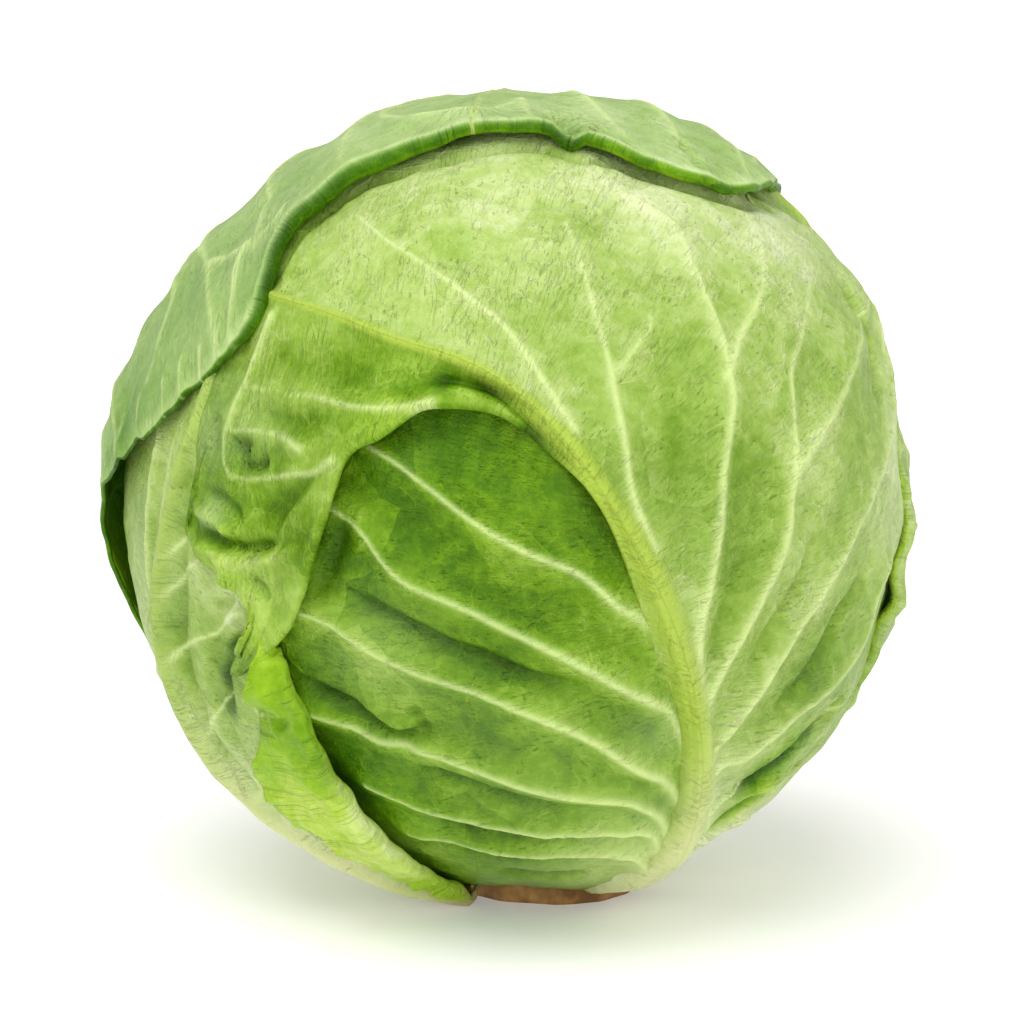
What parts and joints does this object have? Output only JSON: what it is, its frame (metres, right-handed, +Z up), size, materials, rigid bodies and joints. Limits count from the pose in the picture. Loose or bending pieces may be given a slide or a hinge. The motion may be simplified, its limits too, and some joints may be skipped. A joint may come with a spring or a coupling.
{
  "type": "cabbage head",
  "caption": "Round green cabbage head with loose outer leaves wrapped over a firm heart, standing on its cut stem.",
  "frame": {"origin": "centre of the stem's cut face, which the head stands on", "axes": "+Z up; -Y is the side with the front leaf's midrib; +X to the right seen from there, so the head leans a little to -X"},
  "size_m": [0.1814, 0.1739, 0.1795],
  "materials": {
    "leaf_green": "satin leaf skin with raised pale veins",
    "leaf_pale": "pale waxy leaf underside",
    "leaf_waxy": "bluish green wax bloom",
    "heart": "smooth pale inner leaves",
    "stem": "dried cut face"
  },
  "bodies": {
    "root": {"stem_butt": "stem", "heart": "heart", "left_rear_leaf": "leaf_pale", "right_rear_leaf": "leaf_pale", "front_leaf": "leaf_green", "left_leaf": "leaf_pale", "right_leaf": "leaf_green", "cap_leaf": "leaf_waxy"}
  },
  "joints": []
}
